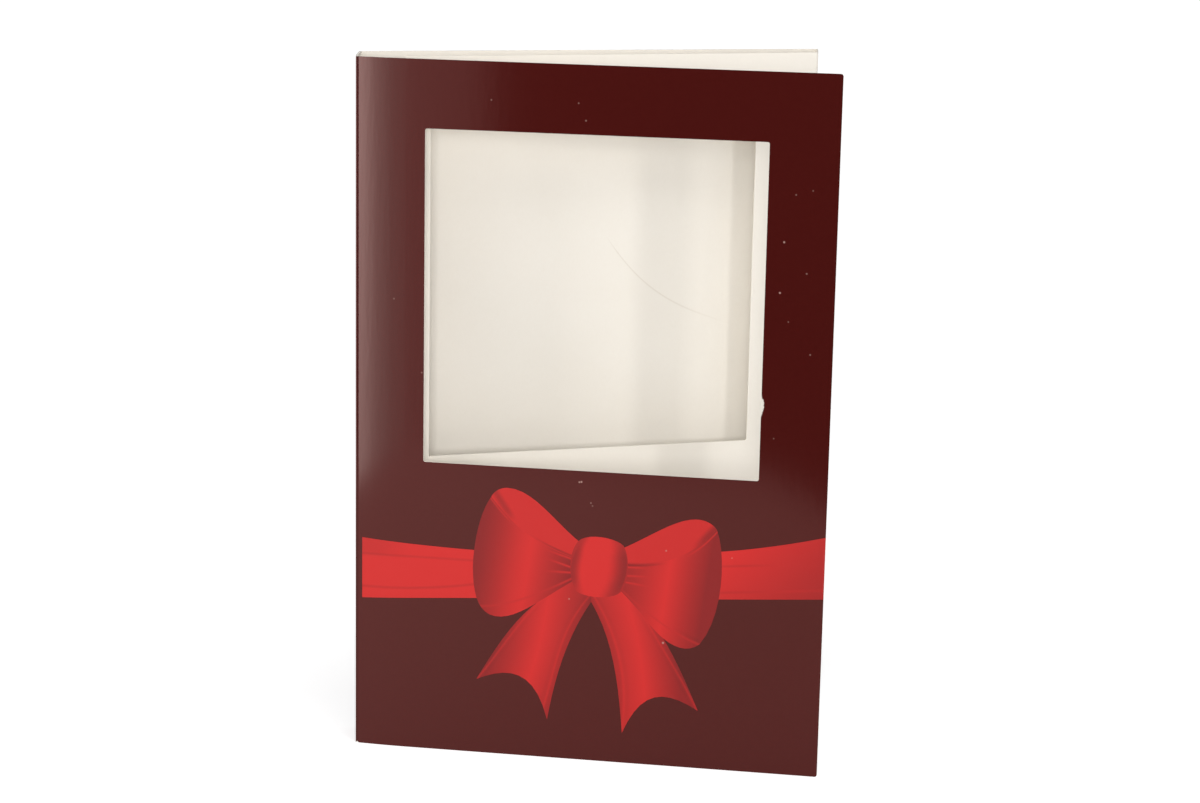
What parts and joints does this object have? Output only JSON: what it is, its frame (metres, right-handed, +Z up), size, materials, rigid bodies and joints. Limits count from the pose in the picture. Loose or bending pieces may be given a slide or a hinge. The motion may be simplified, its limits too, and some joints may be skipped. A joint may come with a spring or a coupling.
{
  "type": "gift card holder",
  "caption": "Folded board gift card holder that stands on edge, with a windowed cover, a spine, a back and a pocket flap with its own window, and a ribbon bow print.",
  "frame": {"origin": "middle of the footprint, on the surface that the holder stands on", "axes": "+Z up along the creases, +X from the spine to the fore edge along the back, the cover opens towards -Y"},
  "size_m": [0.1184, 0.0576, 0.17],
  "materials": {
    "board": "uncoated cream folding board, fine fibre, matt",
    "dark_film": "dark maroon print under a clear gloss film",
    "crease_film": "maroon print and gloss film bent round the crease",
    "ribbon_red": "bright red print under a clear gloss film",
    "bow_red": "shaded red print under a clear gloss film",
    "lining_red": "flat red print under a clear gloss film"
  },
  "bodies": {
    "back": {"back_board": "board", "back_film": "dark_film", "spine_crease": "crease_film", "edge_crease": "board"},
    "spine": {"spine_board": "board", "spine_film": "dark_film", "cover_crease": "crease_film"},
    "cover": {"cover_board": "board", "cover_film": "dark_film", "left_ribbon": "ribbon_red", "right_ribbon": "ribbon_red", "left_loop": "bow_red", "left_loop_lining": "lining_red", "right_loop": "bow_red", "right_loop_lining": "lining_red", "knot": "bow_red", "left_tail": "bow_red", "right_tail": "bow_red"},
    "fore_edge": {"fore_edge": "board", "flap_crease": "board"},
    "flap": {"flap_board": "board"}
  },
  "joints": [
    {"name": "spine_hinge", "type": "hinge", "parent": "back", "child": "spine", "pos_m": [-0.05608, 0.02854, 0], "axis": [0, 0, 1], "range_deg": [-76.9, 13.1]},
    {"name": "cover_hinge", "type": "hinge", "parent": "spine", "child": "cover", "pos_m": [-0.05892, 0.01636, 0], "axis": [0, 0, 1], "range_deg": [-80, 10]},
    {"name": "edge_hinge", "type": "hinge", "parent": "back", "child": "fore_edge", "pos_m": [0.05892, 0.02854, 0], "axis": [0, 0, 1], "range_deg": [-1, 8]},
    {"name": "flap_hinge", "type": "hinge", "parent": "fore_edge", "child": "flap", "pos_m": [0.05617, 0.01997, 0], "axis": [0, 0, 1], "range_deg": [-1.5, 12]}
  ],
  "couplings": [
    {"joint": "edge_hinge", "follows": "cover_hinge", "ratio": -0.1},
    {"joint": "flap_hinge", "follows": "cover_hinge", "ratio": -0.15}
  ]
}
